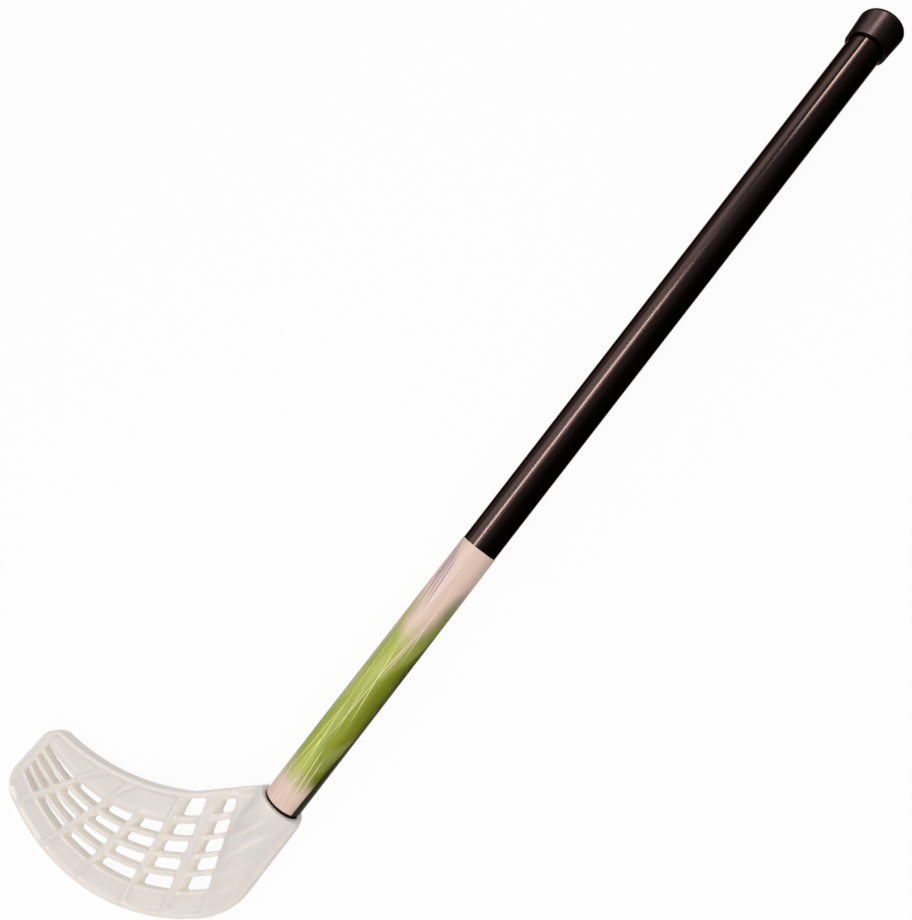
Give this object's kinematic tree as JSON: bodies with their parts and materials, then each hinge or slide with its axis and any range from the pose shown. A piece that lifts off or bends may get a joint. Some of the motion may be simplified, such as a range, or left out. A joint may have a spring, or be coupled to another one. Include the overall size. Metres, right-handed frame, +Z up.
{
  "type": "floorball stick",
  "caption": "Floorball stick: straight round black shaft with a printed sleeve and a push-on end cap, and a white openwork lattice blade screwed on at its socket.",
  "frame": {"origin": "on the shaft's axis, in the middle of the bare grip between the printed sleeve and the cap", "axes": "+X along the shaft towards the end cap, +Y towards the toe of the blade, +Z up from the floor that the stick lies on"},
  "size_m": [0.8776, 0.2159, 0.0388],
  "materials": {
    "shaft": "glossy black lacquer",
    "print": "glossy print in lime and pale pink",
    "cap": "satin black",
    "plug": "plain dark moulding",
    "screw": "plated steel",
    "blade": "waxy white polyethylene"
  },
  "bodies": {
    "stick": {"shaft_tube": "shaft", "print_film": "print", "shaft_plug": "plug", "blade": "blade"},
    "cap": {"end_cap": "cap"},
    "screw": {"blade_screw": "screw"}
  },
  "joints": [
    {"name": "cap_pull_off", "type": "slide", "parent": "stick", "child": "cap", "axis": [1, 0, 0], "range_m": [0, 0.05]},
    {"name": "screw_withdraw", "type": "slide", "parent": "stick", "child": "screw", "axis": [0, -0.07, -0.9975], "range_m": [0, 0.016]}
  ]
}
